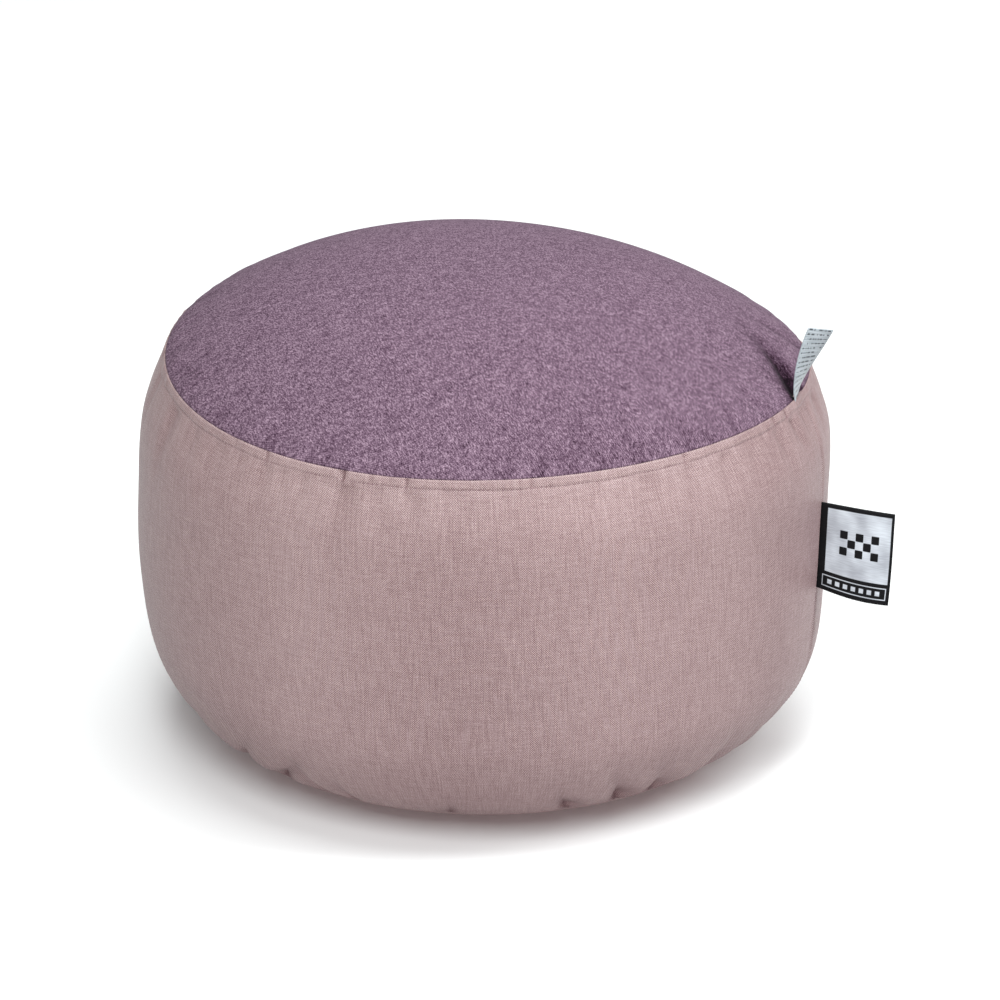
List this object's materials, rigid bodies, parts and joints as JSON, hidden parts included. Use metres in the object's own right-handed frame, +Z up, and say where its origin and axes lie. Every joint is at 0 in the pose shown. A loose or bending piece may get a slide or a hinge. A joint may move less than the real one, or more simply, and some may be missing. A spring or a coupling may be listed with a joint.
{
  "type": "round pouf",
  "caption": "Round filled floor pouf with a domed top panel, an upright side band with a topstitched rim, a sewn-in side label and a care label.",
  "frame": {"origin": "middle of the flat underside of the base, on the floor", "axes": "+Z up; -Y is the front; +X is the side that the upright seam and both labels are on"},
  "size_m": [0.5992, 0.5512, 0.3918],
  "materials": {
    "mauve_cloth": "brushed heather cloth, matt with a soft nap",
    "pink_cloth": "linen-look plain weave, matt",
    "woven_label": "damask label, black and silver satin",
    "satin_tape": "folded satin tape, soft sheen"
  },
  "bodies": {
    "root": {"top_panel": "mauve_cloth", "side_band": "pink_cloth", "base_panel": "pink_cloth", "side_label": "woven_label", "care_label": "satin_tape"}
  },
  "joints": []
}
